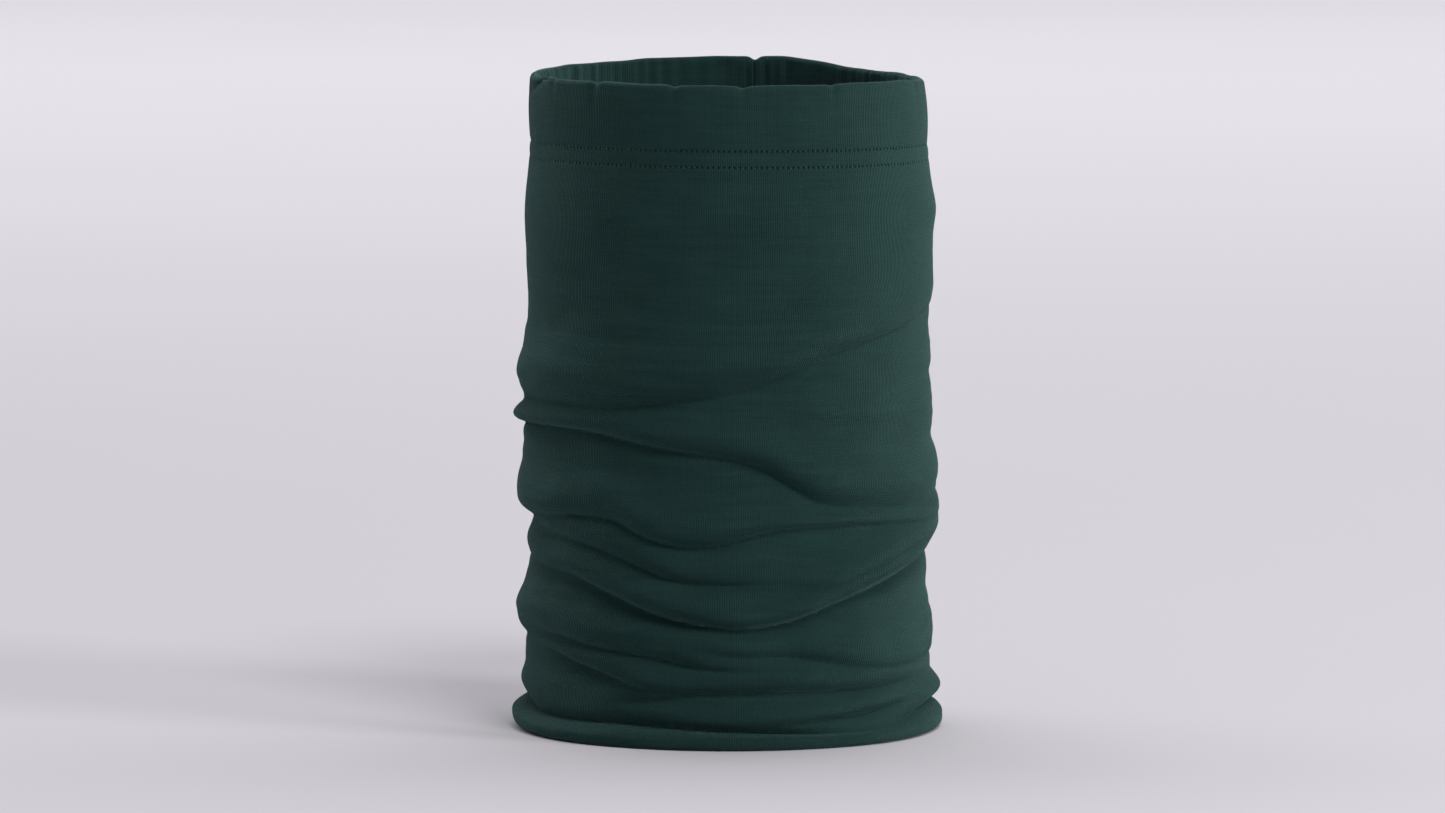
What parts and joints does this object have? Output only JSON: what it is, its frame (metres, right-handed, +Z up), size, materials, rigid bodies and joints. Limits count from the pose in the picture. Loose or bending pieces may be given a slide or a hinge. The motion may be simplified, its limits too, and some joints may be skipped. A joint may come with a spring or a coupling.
{
  "type": "neck gaiter",
  "caption": "Knit jersey tube that covers the neck and lower face, with an elasticated, stitched top hem and a tucked-up lower edge.",
  "frame": {"origin": "centre of the footprint, on the surface that the tube stands on", "axes": "+Z up the tube, -Y the wearer's front, +X the wearer's left; the back seam is 8 degrees from +Y towards +X"},
  "size_m": [0.1732, 0.1732, 0.264],
  "materials": {
    "jersey": "fine brushed knit, soft sheen",
    "thread": "matte spun thread",
    "elastic": "woven elastic, matte",
    "label": "satin tape, blank"
  },
  "bodies": {
    "lower_tube": {"tube_wall": "jersey", "bottom_turn_up": "jersey", "bottom_hem_allowance": "jersey", "bottom_needle_thread_upper": "thread", "bottom_needle_thread_lower": "thread", "bottom_looper_thread": "thread", "back_seam_allowance": "jersey", "back_seam_overlock_thread": "thread", "care_label": "label"},
    "top_hem": {"top_hem_outer": "jersey", "top_hem_facing": "jersey", "elastic_band": "elastic", "elastic_end_tacks": "thread", "top_needle_thread_upper": "thread", "top_needle_thread_lower": "thread", "top_looper_thread": "thread"}
  },
  "joints": [
    {"name": "pull_up", "type": "slide", "parent": "lower_tube", "child": "top_hem", "axis": [0, 0, 1], "range_m": [-0.09, 0.04], "deforming": ["tube_wall", "back_seam_allowance", "back_seam_overlock_thread"]}
  ]
}
